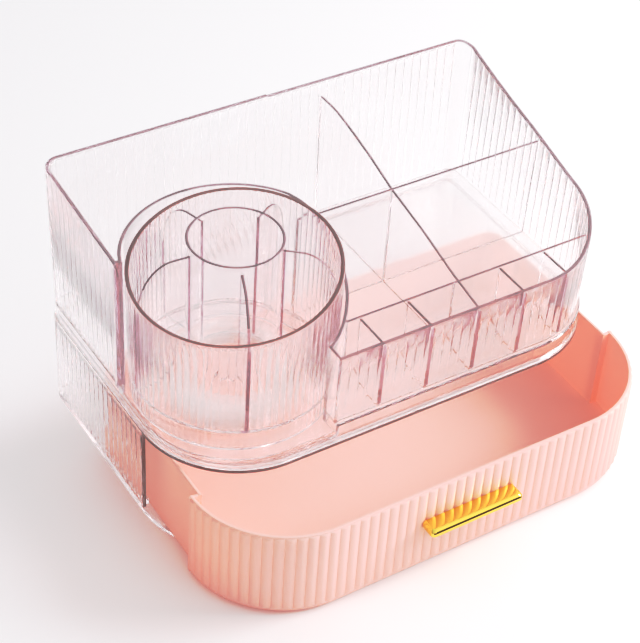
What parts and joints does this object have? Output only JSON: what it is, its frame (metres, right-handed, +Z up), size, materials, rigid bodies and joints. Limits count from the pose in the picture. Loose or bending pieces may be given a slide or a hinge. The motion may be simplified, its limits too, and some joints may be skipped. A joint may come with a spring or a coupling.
{
  "type": "desk organizer with rotating cup",
  "caption": "Clear desk organizer with a divided upper tray, a spinning pen cup on a ball bearing and a pull-out drawer with a bar handle.",
  "frame": {"origin": "centre of the housing's underside, where the organizer stands on the desk", "axes": "+Z up, +X to the right as seen from the front, -Y towards the drawer's handle"},
  "size_m": [0.3027, 0.2508, 0.1786],
  "materials": {
    "clear_plastic": "clear polished, lightly tinted at the edges",
    "pink_plastic": "glossy opaque moulding",
    "gold_metal": "polished plating",
    "screw_steel": "zinc plated",
    "bearing_plastic": "natural white moulding"
  },
  "bodies": {
    "base": {"drawer_housing": "clear_plastic", "upper_tray": "clear_plastic", "lower_race": "clear_plastic", "pivot_cap": "clear_plastic"},
    "drawer": {"drawer": "pink_plastic", "drawer_handle": "gold_metal", "handle_screws": "screw_steel"},
    "cup": {"rotating_cup": "clear_plastic", "upper_race": "clear_plastic"},
    "ball_cage": {"bearing_cage": "clear_plastic", "bearing_balls": "bearing_plastic"}
  },
  "joints": [
    {"name": "drawer_slide", "type": "slide", "parent": "base", "child": "drawer", "axis": [0, -1, 0], "range_m": [-0.0555, 0.0565]},
    {"name": "cup_spin", "type": "hinge", "parent": "base", "child": "cup", "pos_m": [-0.085, -0.02, 0.082], "axis": [0, 0, 1], "continuous": true},
    {"name": "cage_spin", "type": "hinge", "parent": "base", "child": "ball_cage", "pos_m": [-0.085, -0.02, 0.0755], "axis": [0, 0, 1], "continuous": true}
  ],
  "couplings": [
    {"joint": "cage_spin", "follows": "cup_spin", "ratio": 0.5}
  ]
}
